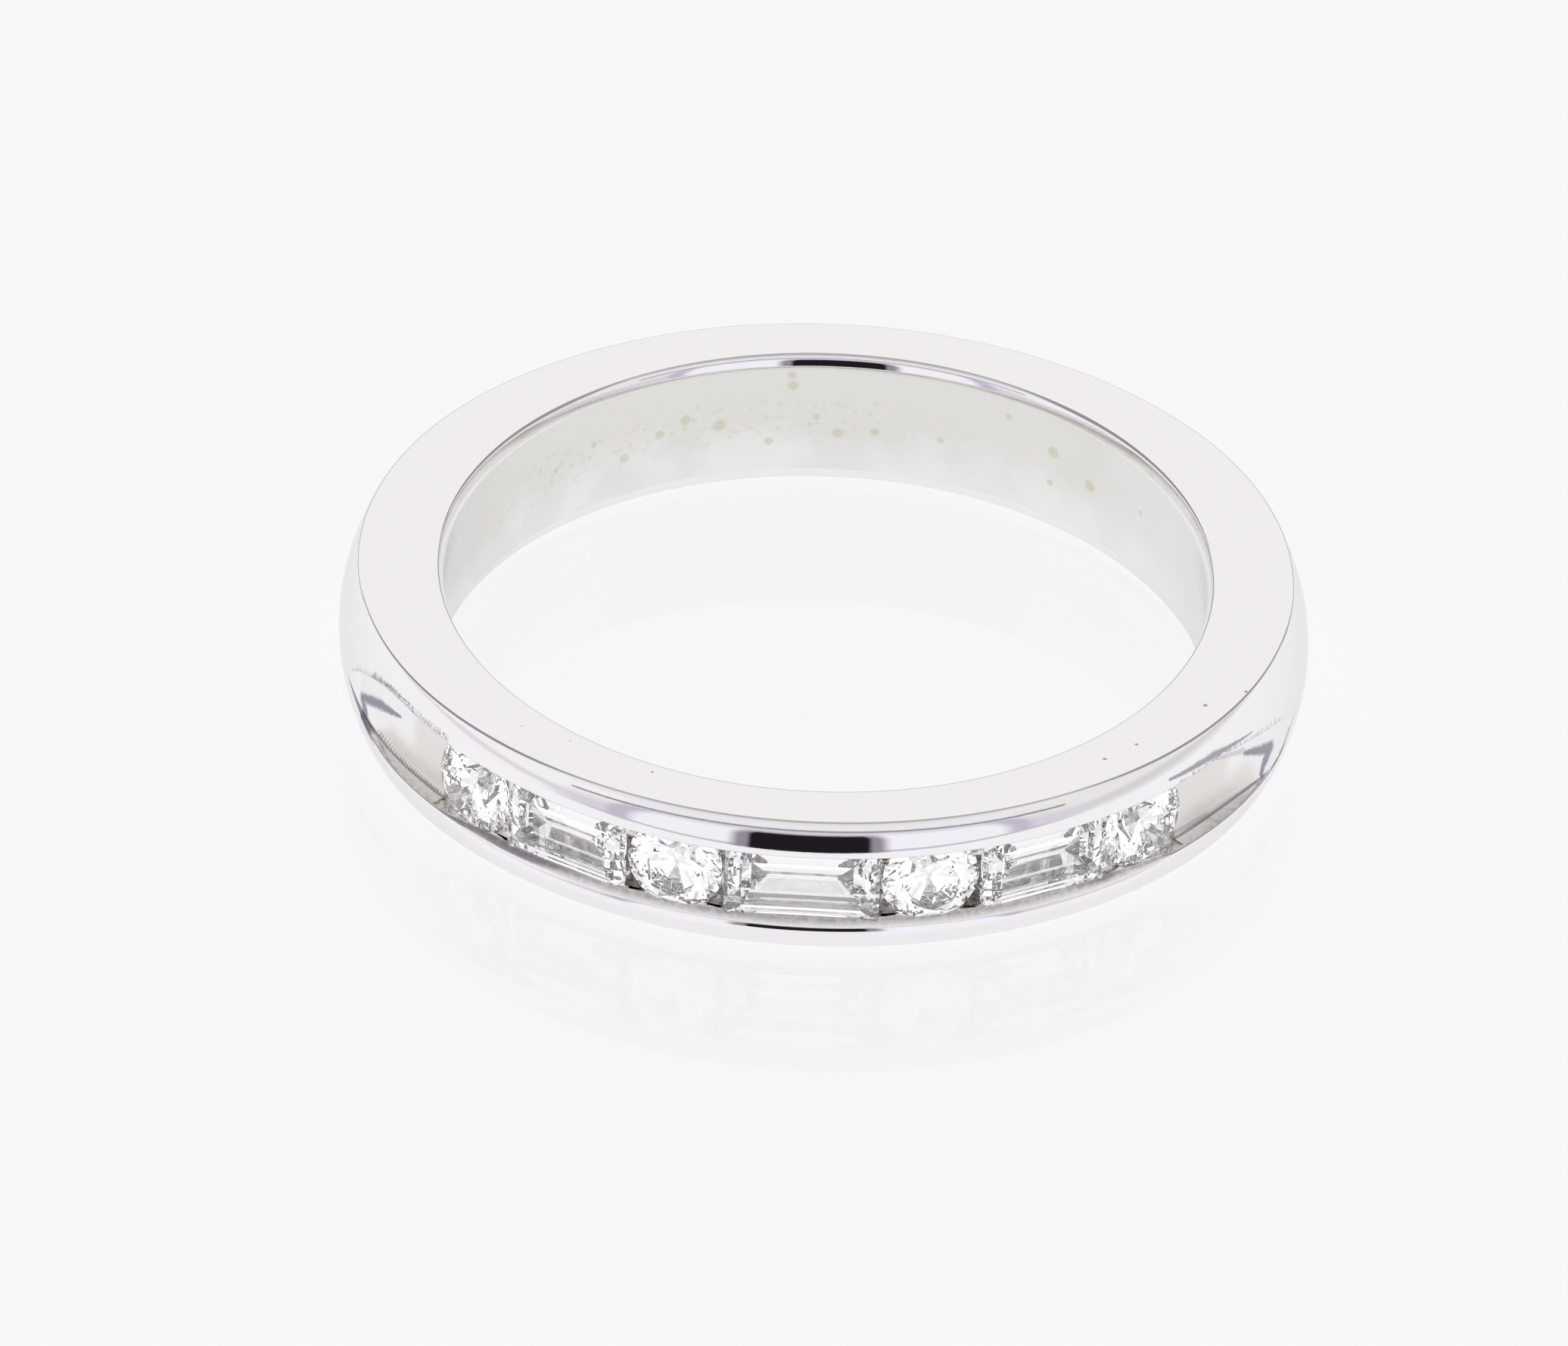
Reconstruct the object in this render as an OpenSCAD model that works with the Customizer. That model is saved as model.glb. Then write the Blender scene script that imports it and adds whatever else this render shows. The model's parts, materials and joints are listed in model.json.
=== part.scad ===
// Diamond band: a domed ring with round stones and baguettes set in turn in a channel at its front.
// The ring lies on its side. +Z runs along the finger hole and Z = 0 is the face it rests on.
// The origin is on the axis of the hole, and the stones face -Y. Lengths are in millimetres.

/* [Band] */
// Diameter of the finger hole
finger_d = 17.3; // [16.5:0.1:18.5]
// Height of the band, along the finger
band_h = 3.4; // [3.25:0.05:3.7]
// Thickness of the metal at the front and at the back
front_t = 1.8; // [1.8:0.05:2.1]
// Thickness of the metal at the two shoulders
shoulder_t = 2.35; // [2.25:0.05:2.5]
// Radius of the dome, across the outside of the band
dome_r = 3.8; // [3.6:0.1:5]
// Radius of the rounded edges between the dome and the flat faces
edge_r = 0.1; // [0.05:0.01:0.15]
// Width of the bevel that eases each end of the finger hole
bevel_w = 0.13; // [0.05:0.01:0.2]
// Length of that bevel along the hole
bevel_h = 0.37; // [0.2:0.01:0.5]

/* [Channel] */
// Width of the channel between its lips
channel_w = 1.75; // [1.65:0.05:1.8]
// Depth of the channel's bare floor under the crown
floor_depth = 0.56; // [0.5:0.01:0.6]
// Depth of the pocket under the crown, where the stones sit
pocket_depth = 1.5; // [1.47:0.01:1.53]
// Depth of the drilled seats of the round stones under the crown
drill_depth = 1.62; // [1.6:0.01:1.65]
// Turn from the middle of the row to the channel's left tip, in degrees
left_tip = 75.5; // [73:0.5:79]
// Turn from the middle of the row to the channel's right tip, in degrees
right_tip = 78.5; // [73:0.5:79]
// Length of the pointed stretch before each tip
point_l = 3.2; // [2.6:0.1:3.4]
// Radius of the floor where it rises to a tip
rise_r = 5.5; // [5.2:0.1:5.8]

/* [Stones] */
// Diameter of the round stones
round_d = 2.25; // [2.1:0.01:2.25]
// Length of the middle baguette, along the band
middle_l = 3.5; // [3.3:0.05:3.5]
// Length of the two side baguettes, along the band
side_l = 3.1; // [2.8:0.05:3.1]
// Width of the baguettes, across the band
baguette_w = 1.96; // [1.92:0.01:2]
// Depth of the girdles under the crown
girdle_depth = 0.52; // [0.5:0.01:0.54]
// Gap between neighbouring stones
stone_gap = 0.05; // [0.04:0.01:0.06]
// Gap between a stone and the metal round it
seat_gap = 0.025; // [0.02:0.005:0.03]

/* [Hidden] */
$fn = 96;

// Plan of the outside: four arcs that meet square to the diagonals
bore_r = finger_d / 2;
mid_z = band_h / 2;
half_x = bore_r + shoulder_t;
half_y = bore_r + front_t;
arc_shift = (half_x - half_y) / (2 - sqrt(2));
front_arc_r = half_y + arc_shift;
shoulder_arc_r = half_x - arc_shift;

// Section of the outside: a dome between two rounded edges, with X = 0 at the crown
edge_z = mid_z - edge_r;
edge_x = sqrt(pow(dome_r - edge_r, 2) - pow(edge_z, 2)) - dome_r;
tangent_z = edge_z * dome_r / (dome_r - edge_r);

// How far the hoop's section reaches into the finger hole, which is then cut, and how far cutters overrun
hole_overlap = 0.25;
section_w = shoulder_t + hole_overlap;
overrun = 1;

// Pointed ends of the channel: how the floor leaves the crown at a tip, and the arcs of the outline
rise_lead = 4;
rise_proud = 0.02;
point_arc_r = (pow(point_l, 2) + pow(channel_w / 2, 2)) / channel_w;

// Round brilliant: sizes as shares of the diameter, and the two main angles
round_r = round_d / 2;
table_r = 0.57 * round_r;
girdle_t = 0.03 * round_d;
crown_angle = 34.5;
pavilion_angle = 40.8;
crown_h = (round_r - table_r) * tan(crown_angle);
star_r = (table_r * cos(22.5) + round_r) / 2;
star_z = crown_h - (star_r * cos(22.5) - table_r) * tan(crown_angle);
lower_r = 0.23 * round_r;

// Baguette: how far each step stands in from the girdle, and its height over or under it
crown_steps = [[0.4, 0.22], [0.2, 0.13]];
pavilion_steps = [[0.26, -0.33], [0.6, -0.66], [0.95, -0.86]];
baguette_girdle_t = 0.06;

// Row of stones: the turns from the middle of the row to each stone's middle, in degrees
function half_turn(l) = atan(l / 2 / (front_arc_r - girdle_depth));
gap_turn = 2 * half_turn(stone_gap);
inner_round_at = half_turn(middle_l) + gap_turn + half_turn(round_d);
side_baguette_at = inner_round_at + half_turn(round_d) + gap_turn + half_turn(side_l);
outer_round_at = side_baguette_at + half_turn(side_l) + gap_turn + half_turn(round_d);
round_at = [-outer_round_at, -inner_round_at, inner_round_at, outer_round_at];
baguette_at = [-side_baguette_at, 0, side_baguette_at];
baguette_l = [side_l, middle_l, side_l];

// Sweeps a section along the front arc, between two turns
module sweep_front(from, to) {
    translate([0, arc_shift, mid_z])
        rotate_extrude(angle = to - from, start = 270 + from)
            translate([front_arc_r, 0])
                children();
}

// The same along the arc of the right shoulder
module sweep_shoulder(from, to) {
    translate([arc_shift, 0, mid_z])
        rotate_extrude(angle = to - from, start = 270 + from)
            translate([shoulder_arc_r, 0])
                children();
}

// Stands children on an arc, with their +Z pointing out of it and their +Y up
module on_arc(centre, arc_r, turn) {
    translate([centre.x, centre.y, mid_z])
        rotate([0, 0, turn])
            translate([0, -arc_r, 0])
                rotate([90, 0, 0])
                    children();
}

module on_girdle(turn) {
    on_arc([0, arc_shift], front_arc_r - girdle_depth, turn)
        children();
}

module band_section() {
    translate([-section_w, -mid_z])
        square([section_w + edge_x, band_h]);
    intersection() {
        translate([-dome_r, 0])
            circle(dome_r);
        translate([-section_w, -tangent_z])
            square([section_w + overrun, 2 * tangent_z]);
    }
    for (side = [-1, 1])
        translate([edge_x, side * edge_z])
            circle(edge_r);
}

module hoop() {
    for (half = [0, 180])
        rotate([0, 0, half]) {
            sweep_front(-45, 45)
                band_section();
            sweep_shoulder(45, 135)
                band_section();
        }
}

module finger_hole() {
    translate([0, 0, -overrun])
        cylinder(h = band_h + 2 * overrun, r = bore_r);
    translate([0, 0, -bevel_h])
        cylinder(h = 2 * bevel_h, r1 = bore_r + 2 * bevel_w, r2 = bore_r);
    translate([0, 0, band_h - bevel_h])
        cylinder(h = 2 * bevel_h, r1 = bore_r, r2 = bore_r + 2 * bevel_w);
}

module channel_section(depth) {
    translate([-depth, -channel_w / 2])
        square([depth + overrun, channel_w]);
}

// Outline of a pointed end, seen from outside the band, with its point at X = 0
module point_outline() {
    intersection() {
        translate([-point_l, channel_w / 2 - point_arc_r])
            circle(point_arc_r);
        translate([-point_l, point_arc_r - channel_w / 2])
            circle(point_arc_r);
        translate([-point_l, -channel_w])
            square([point_l + overrun, 2 * channel_w]);
    }
    translate([-4 * point_l, -channel_w / 2])
        square([3 * point_l, channel_w]);
}

// Right end of the channel: its floor rises to the crown while its lips close to a point
module channel_end(tip) {
    difference() {
        intersection() {
            sweep_shoulder(45, tip + rise_lead / 2)
                channel_section(floor_depth);
            on_arc([arc_shift, 0], 0, tip)
                linear_extrude(shoulder_arc_r + overrun)
                    point_outline();
        }
        translate([arc_shift, 0, 0])
            rotate([0, 0, tip + rise_lead])
                translate([0, rise_r - shoulder_arc_r - rise_proud, -overrun])
                    cylinder(h = band_h + 2 * overrun, r = rise_r);
    }
}

// Seat of a round stone: a drilled hole, and a cone that leaves room for the crown's slope under the lips
module round_seat() {
    translate([0, 0, girdle_depth - drill_depth])
        cylinder(h = drill_depth - girdle_depth + seat_gap, r = round_r + seat_gap);
    translate([0, 0, seat_gap])
        cylinder(h = star_z, r1 = round_r + seat_gap, r2 = star_r + seat_gap);
}

// Seat of a baguette: a straight groove for its girdle, cut under both lips
module baguette_seat(l) {
    rim = baguette_w / 2 + seat_gap;
    mouth = channel_w / 2 - 2 * seat_gap;
    top = seat_gap + (rim - mouth) * crown_steps[1][1] / crown_steps[1][0];
    bottom = baguette_girdle_t + seat_gap - (rim - mouth) * pavilion_steps[0][1] / pavilion_steps[0][0];
    rotate([90, 0, 90])
        linear_extrude(l + stone_gap, center = true)
            polygon([
                [-mouth, top], [-rim, seat_gap], [-rim, -baguette_girdle_t - seat_gap], [-mouth, -bottom],
                [mouth, -bottom], [rim, -baguette_girdle_t - seat_gap], [rim, seat_gap], [mouth, top]
            ]);
}

module band() {
    color("gainsboro")
        difference() {
            hoop();
            finger_hole();
            sweep_front(-45, 45)
                channel_section(floor_depth);
            channel_end(right_tip);
            mirror([1, 0, 0])
                channel_end(left_tip);
            sweep_front(-outer_round_at, outer_round_at)
                channel_section(pocket_depth);
            for (turn = round_at)
                on_girdle(turn)
                    round_seat();
            for (i = [0:2])
                on_girdle(baguette_at[i])
                    baguette_seat(baguette_l[i]);
        }
}

function ring_points(r, z, n, first = 0) =
    [for (i = [0:n - 1]) [r * cos(first + 360 * i / n), r * sin(first + 360 * i / n), z]];

// Brilliant cut, with the top of its girdle at Z = 0: a table, 8 stars, 8 kites and 16 halves
// above the girdle, and 16 halves and 8 kites below it
module brilliant() {
    lower_z = -girdle_t - (round_r - lower_r * cos(22.5)) * tan(pavilion_angle);
    culet_z = -girdle_t - round_r * tan(pavilion_angle);
    points = concat(
        ring_points(table_r, crown_h, 8),
        ring_points(star_r, star_z, 8, 22.5),
        ring_points(round_r, 0, 16),
        ring_points(round_r, -girdle_t, 16),
        ring_points(lower_r, lower_z, 8, 22.5),
        [[0, 0, culet_z]]
    );
    star = 8;
    top = 16;
    bottom = 32;
    lower = 48;
    culet = 56;
    polyhedron(points, concat(
        [[for (k = [7:-1:0]) k]],
        [for (k = [0:7]) [k, (k + 1) % 8, star + k]],
        [for (k = [0:7]) [k, star + k, top + 2 * k, star + (k + 7) % 8]],
        [for (k = [0:7]) [star + k, top + 2 * k + 1, top + 2 * k]],
        [for (k = [0:7]) [star + k, top + (2 * k + 2) % 16, top + 2 * k + 1]],
        [for (j = [0:15]) [top + j, top + (j + 1) % 16, bottom + (j + 1) % 16, bottom + j]],
        [for (k = [0:7]) [lower + k, bottom + 2 * k, bottom + 2 * k + 1]],
        [for (k = [0:7]) [lower + k, bottom + 2 * k + 1, bottom + (2 * k + 2) % 16]],
        [for (k = [0:7]) [culet, lower + (k + 7) % 8, bottom + 2 * k, lower + k]]
    ));
}

// Step cut, with the top of its girdle at Z = 0: steps above and below the girdle on all four sides
module step_cut(l) {
    levels = concat(
        crown_steps,
        [[0, 0], [0, -baguette_girdle_t]],
        [for (step = pavilion_steps) [step[0], step[1] - baguette_girdle_t]]
    );
    last = 4 * (len(levels) - 1);
    points = [
        for (level = levels, corner = [[-1, -1], [1, -1], [1, 1], [-1, 1]])
            [corner.x * (l / 2 - level[0]), corner.y * (baguette_w / 2 - level[0]), level[1]]
    ];
    polyhedron(points, concat(
        [[3, 2, 1, 0]],
        [for (i = [0:4:last - 4], k = [0:3]) [i + k, i + (k + 1) % 4, i + 4 + (k + 1) % 4, i + 4 + k]],
        [[last, last + 1, last + 2, last + 3]]
    ));
}

module round_stone(i) {
    color("azure")
        on_girdle(round_at[i])
            brilliant();
}

module baguette(i) {
    color("aliceblue")
        on_girdle(baguette_at[i])
            step_cut(baguette_l[i]);
}

band();
round_stone(0);  // round_stone_1
round_stone(1);  // round_stone_2
round_stone(2);  // round_stone_3
round_stone(3);  // round_stone_4
baguette(0);  // baguette_1
baguette(1);  // baguette_2
baguette(2);  // baguette_3
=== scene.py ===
# Diamond band: a domed white gold ring with seven stones in a channel, lying on a pale glossy floor.
# All lengths in the dictionaries are millimetres and all angles degrees; mm turns them into metres.
# A turn is measured in plan from the front of the ring (-Y), positive towards +X.
import json
import math
import bpy
from mathutils import Matrix, Vector


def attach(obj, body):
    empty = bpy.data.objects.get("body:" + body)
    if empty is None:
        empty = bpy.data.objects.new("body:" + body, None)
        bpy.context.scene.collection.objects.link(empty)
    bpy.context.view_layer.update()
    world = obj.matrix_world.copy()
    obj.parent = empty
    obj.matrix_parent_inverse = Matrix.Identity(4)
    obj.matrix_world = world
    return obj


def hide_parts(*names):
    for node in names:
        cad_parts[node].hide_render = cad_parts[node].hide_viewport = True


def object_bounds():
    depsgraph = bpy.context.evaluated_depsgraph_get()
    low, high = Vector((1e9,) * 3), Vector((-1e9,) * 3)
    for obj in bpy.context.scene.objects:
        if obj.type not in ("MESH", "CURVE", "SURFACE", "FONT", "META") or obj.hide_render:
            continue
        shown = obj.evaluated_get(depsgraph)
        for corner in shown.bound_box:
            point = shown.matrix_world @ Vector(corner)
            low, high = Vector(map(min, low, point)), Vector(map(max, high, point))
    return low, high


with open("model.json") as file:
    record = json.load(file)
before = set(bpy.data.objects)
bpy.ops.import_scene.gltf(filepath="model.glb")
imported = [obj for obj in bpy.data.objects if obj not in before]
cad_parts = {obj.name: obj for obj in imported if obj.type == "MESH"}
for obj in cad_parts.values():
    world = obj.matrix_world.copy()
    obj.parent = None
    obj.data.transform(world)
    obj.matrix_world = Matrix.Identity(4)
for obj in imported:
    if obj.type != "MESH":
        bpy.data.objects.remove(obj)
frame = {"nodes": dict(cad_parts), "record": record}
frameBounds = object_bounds()
mm = 0.001


def clearSelection():
    if bpy.context.object and bpy.context.object.mode != "OBJECT":
        bpy.ops.object.mode_set(mode="OBJECT")
    bpy.ops.object.select_all(action="DESELECT")


def blendBetween(value, low, high):  # 0 below low, 1 above high, smooth between
    share = min(max((value - low) / (high - low), 0.0), 1.0)
    return share * share * (3 - 2 * share)


def mix(a, b, share):
    return a + (b - a) * share


print("helpers ready")

# The camera stands where the photograph was taken from.
photoView = {
    "pixelsWide": 2072,
    "pixelsHigh": 1779,
    "turn": 1.6,
    "elevation": 34.38,
    "roll": 2.2,
    "pixelsPerMm": 58.39,
    "faceCentrePixel": (1091.5, 754.3),  # where the middle of the upper flat face lands
    "distance": 1000,
    "sensor": 36,
}


def placeCamera(view, topZ):
    turn, rise, roll = [math.radians(view[k]) for k in ("turn", "elevation", "roll")]
    back = Vector((math.sin(turn) * math.cos(rise), -math.cos(turn) * math.cos(rise), math.sin(rise)))
    level = Vector((math.cos(turn), math.sin(turn), 0))
    upright = back.cross(level)
    right = level * math.cos(roll) + upright * math.sin(roll)
    up = upright * math.cos(roll) - level * math.sin(roll)
    aside = (view["faceCentrePixel"][0] - view["pixelsWide"] / 2) / view["pixelsPerMm"]
    above = (view["pixelsHigh"] / 2 - view["faceCentrePixel"][1]) / view["pixelsPerMm"]
    place = Vector((0, 0, topZ)) + back * view["distance"] - right * aside - up * above
    bpy.ops.object.camera_add(location=place * mm)
    camera = bpy.context.object
    camera.name = "photoCamera"
    camera.rotation_mode = "QUATERNION"
    axes = [(right[i], up[i], back[i]) for i in range(3)]
    camera.rotation_quaternion = Matrix(axes).to_quaternion()
    camera.data.sensor_width = view["sensor"]
    camera.data.lens = view["sensor"] * view["pixelsPerMm"] * view["distance"] / view["pixelsWide"]
    camera.data.clip_start = 0.05
    camera.data.clip_end = 5
    bpy.context.scene.camera = camera


# The band's sizes come from the frame; the rest is what the photograph shows of its finish.
bandShape = {
    "domeRadius": 3.8,
    "edgeRadius": 0.08,
    "boreBevel": [                  # distance into the metal and below the flat face, from the hole up
        (0.004, 0.355), (0.026, 0.28), (0.05, 0.205), (0.078, 0.132), (0.095, 0.09), (0.113, 0.05),
        (0.135, 0.022), (0.165, 0.005), (0.2, 0),
    ],
    "boreEnd": 0.4,
    "lipRadius": 0.06,
    "lowerLipRoll": [               # distance from the lip and tilt there
        (0.4, 0), (0.33, 12), (0.225, 18), (0.15, 26), (0.07, 42),
    ],
    "rollEnd": (38, 50),            # turns between which the roll dies down
    "rollLeft": 0.14,               # and the share of it that stays
    "channelHalf": 0.875,
    "points": {                     # of the channel: how far the lip stands off there, length, bluntness
        ("left", True): (0.12, 3.2, 2), ("left", False): (0, 3.2, 2),
        ("right", True): (0.03, 4.0, 1.4), ("right", False): (0.04, 1.8, 3),
    },
    "riseTurns": (12, 48),          # turns between which a lip comes to stand off
    "slenderHalf": 0.4,             # half height of the channel under which its lips get thinner too
    "leastHalf": 0.004,             # and the least one, at a tip
    "tipFan": (0.35, 0.9),          # how far the rows spread again beyond a tip, and over what length
    "floorDepth": 0.56,
    "rampLength": 4.2,              # stretch in which the floor rises to a tip
    "rampCurve": 1.15,
    "tips": {"left": -75.5, "right": 78.5},
    "pocketDepth": 1.5,
    "seatGap": 0.025,
    "girdleDepth": 0.52,
    "roundRadius": 1.125,
    "girdleThickness": 0.07,
    "crownAngle": 34.5,
    "pavilionAngle": 40.8,
    "baguetteHalf": 0.98,
    "baguetteCrown": 0.65,          # slope of the lowest step over the girdle
    "baguettePavilion": 1.27,       # slope of the first step under it
    "sectionRows": 96,
    "boreRows": 7,
    "sideRows": 18,                 # the upper side starts with the seven of its lip
    "smoothUnder": 24,
    "columnZones": [                # from, to and the step between columns
        (-180, -100, 1), (-100, -80, 0.6), (-80, -43, 0.16), (-43, 43, 0.44),
        (43, 82, 0.16), (82, 100, 0.6), (100, 180, 1),
    ],
}
halfX = frameBounds[1].x / mm
halfY = frameBounds[1].y / mm  # the crown at the back, for the channel cuts it away at the front
bandHeight = frameBounds[1].z / mm
boreRadius = frame["record"]["mounts"][0]["dims"]["r_mm"]
midZ = bandHeight / 2
arcShift = (halfX - halfY) / (2 - math.sqrt(2))
frontArc = halfY + arcShift
shoulderArc = halfX - arcShift


def arcOf(turn):  # centre and radius of the plan arc that holds this turn
    side = (turn + 45) % 360 // 90
    if side == 0:
        return (0, arcShift), frontArc
    if side == 1:
        return (arcShift, 0), shoulderArc
    if side == 2:
        return (0, -arcShift), frontArc
    return (-arcShift, 0), shoulderArc


def outwardOf(turn):
    return math.sin(math.radians(turn)), -math.cos(math.radians(turn))


def reachTo(radius, turn):  # distance from the arc's centre, along the turn, to a circle round the axis
    (cx, cy), _ = arcOf(turn)
    nx, ny = outwardOf(turn)
    along = cx * nx + cy * ny
    return -along + math.sqrt(along * along - cx * cx - cy * cy + radius * radius)


def stoneTurn(node):
    points = [v.co for v in frame["nodes"][node].data.vertices]
    centre = sum(points, Vector()) / len(points) / mm
    return math.degrees(math.atan2(centre.x, arcShift - centre.y))


def stoneLength(node):  # length along the band, from the stone's own points
    nx, ny = outwardOf(stoneTurn(node))
    along = [(v.co.x * -ny + v.co.y * nx) / mm for v in frame["nodes"][node].data.vertices]
    return max(along) - min(along)


roundNodes = ["round_stone_%d" % i for i in (1, 2, 3, 4)]
baguetteNodes = ["baguette_%d" % i for i in (1, 2, 3)]
roundTurns = [stoneTurn(node) for node in roundNodes]
baguetteSpans = [(stoneTurn(node), stoneLength(node)) for node in baguetteNodes]


def domeDrop(z):
    return bandShape["domeRadius"] - math.sqrt(bandShape["domeRadius"] ** 2 - (z - midZ) ** 2)


def sideOf(turn):
    return "right" if turn > 0 else "left"


def turnToTip(turn):  # what is left before the channel's tip on this side, below 0 beyond it
    return abs(bandShape["tips"][sideOf(turn)]) - abs(turn)


def lengthToTip(turn):  # the same, along the shoulder
    return turnToTip(turn) * math.radians(1) * shoulderArc


def lipHalf(turn, upper):  # half height of the channel between its lips, with the pointed ends
    rise, length, bluntness = bandShape["points"][sideOf(turn), upper]
    width = bandShape["channelHalf"] + rise * blendBetween(abs(turn), *bandShape["riseTurns"])
    share = min(max(1 - lengthToTip(turn) / length, 0), 1)
    return width * (1 - share ** bluntness)


def floorDepthAt(turn):
    share = min(max(lengthToTip(turn) / bandShape["rampLength"], 0), 1)
    return bandShape["floorDepth"] * math.sin(share * math.pi / 2) ** bandShape["rampCurve"]


print("band sizes", round(halfX, 3), round(halfY, 3), round(bandHeight, 3))


def edgePoints():  # rounded edge from the dome up to the flat face: (drop, height over the middle)
    radius = bandShape["edgeRadius"]
    centreZ = midZ - radius
    centreX = math.sqrt((bandShape["domeRadius"] - radius) ** 2 - centreZ ** 2) - bandShape["domeRadius"]
    meets = math.degrees(math.asin(centreZ / (bandShape["domeRadius"] - radius)))
    angles = [90 - (90 - meets) * k / 6 for k in range(7)]
    return [(-centreX - radius * math.cos(math.radians(a)), centreZ + radius * math.sin(math.radians(a)))
            for a in angles]


roundedEdge = edgePoints()


# The stone under this turn: its kind, the distance from its middle, how far its girdle's plane rises towards
# the dome there, and how near its end is.
def girdleUnder(turn):
    plane = frontArc - bandShape["girdleDepth"]
    spans = [("round", at, bandShape["roundRadius"]) for at in roundTurns]
    spans += [("baguette", at, length / 2) for at, length in baguetteSpans]
    for kind, at, reach in spans:
        away = math.radians(turn - at)
        aside = abs(plane * math.tan(away))
        if aside < reach + bandShape["seatGap"]:
            return kind, aside, plane * (1 / math.cos(away) - 1), blendBetween(aside, 0.9 * reach, reach)
    return None, 0, 0, 1


def pocketProfile(turn, width, lipDepth):  # from under a lip to near the middle, where stones sit
    shape = bandShape
    kind, aside, lift, _ = girdleUnder(turn)
    gap = shape["seatGap"]
    girdle = shape["girdleDepth"] - lift
    under = girdle + shape["girdleThickness"]
    deep = shape["pocketDepth"]
    groove, top, bottom = width, girdle - gap, under + gap
    reach = width
    if kind == "round":
        radius = shape["roundRadius"]
        reach = math.sqrt(max((radius + gap) ** 2 - aside ** 2, 0))
        if reach > width:
            inside = radius - math.hypot(aside, width)
            groove = reach
            top = girdle - gap - max(inside, 0) * math.tan(math.radians(shape["crownAngle"]))
            bottom = under + gap + max(inside, 0) * math.tan(math.radians(shape["pavilionAngle"]))
    if kind == "baguette" and shape["baguetteHalf"] + gap > width:
        inside = shape["baguetteHalf"] - width
        groove = shape["baguetteHalf"] + gap
        top = girdle - gap - inside * shape["baguetteCrown"]
        bottom = under + gap + inside * shape["baguettePavilion"]
    if kind == "round" and reach < width and abs(turn) > max(roundTurns):
        ledge = shape["floorDepth"]
        wall = [(width, mix(lipDepth, ledge, k / 5)) for k in range(1, 6)]
        return wall + [(mix(width, reach, 0.5), ledge), (reach, ledge), (reach, mix(ledge, deep, 0.5)),
                       (reach, deep), (reach * 0.6, deep), (reach * 0.3, deep)]
    top = max(top, lipDepth + 0.02)
    return [
        (width, mix(lipDepth, top, 0.5)), (width, top), (groove, girdle - gap), (groove, under + gap),
        (width, bottom), (width, mix(bottom, deep, 0.3)), (width, mix(bottom, deep, 0.55)),
        (width, mix(bottom, deep, 0.8)), (width, deep), (width * 0.6, deep), (width * 0.3, deep),
    ]


def bareProfile(turn, width, lipDepth, upper):  # where the floor is bare: a box that softens to a scoop
    depth = max(floorDepthAt(turn), lipDepth)
    squareness = mix(2.2, 9 if upper else 6, blendBetween(turnToTip(turn), 4, 17))
    points = []
    for k in range(1, 12):
        angle = math.radians(90 * k / 12)
        points.append((width * math.cos(angle) ** (2 / squareness),
                       mix(lipDepth, depth, math.sin(angle) ** (2 / squareness))))
    return points


cutsAndPaintedShade = {
    "beadPitch": 0.11,
    "beadTurns": ((-74, -46), (47, 74)),
    "beadRounding": {"left": 0.07, "right": 0.03},  # added to the upper lip's radius there
    "grimeAndShadeEnd": (44, 50),           # turns between which the grime and painted shade beside the stones end
    "hatchPitch": 0.098,
    "hatchTurns": (-67, -49),
    "satinEnds": {"left": (67, 58), "right": (69, 62)},  # turns where the satin ends, low down and high up
    "paintedShadeStrokes": [  # painted dark reflections and shade at the channel's points: turn and height at both ends, width at both ends, strength
        (-70.3, 1.53, -66, 1.8, 0.28, 0.36, 0.95),
        (-66, 1.8, -61, 1.96, 0.36, 0.1, 0.95),
        (-70.4, 1.5, -68.6, 1.16, 0.22, 0.18, 0.9),
        (-68.6, 1.16, -64.5, 0.88, 0.18, 0.05, 0.8),
        (-66, 2.62, -61.5, 2.82, 0.13, 0.12, 0.45),
        (-61.5, 2.82, -56, 2.91, 0.12, 0.03, 0.4),
        (58.5, 2.22, 65, 1.88, 0.08, 0.2, 0.35),
        (65.5, 1.78, 71.4, 1.35, 0.16, 0.42, 0.9),
        (71.4, 1.34, 69.2, 0.86, 0.44, 0.16, 0.9),
        (48.5, 0.96, 57, 0.86, 0.1, 0.2, 0.45),
        (57, 0.86, 68, 0.82, 0.2, 0.04, 0.25),
        (46.5, 2.85, 55, 2.81, 0.08, 0.2, 0.8),
        (55, 2.81, 64, 2.61, 0.2, 0.03, 0.8),
    ],
}


def spanShare(turn, low, high, soft):  # 1 between two turns, 0 outside them
    return blendBetween(turn, low, low + soft) * (1 - blendBetween(turn, high - soft, high))


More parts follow.
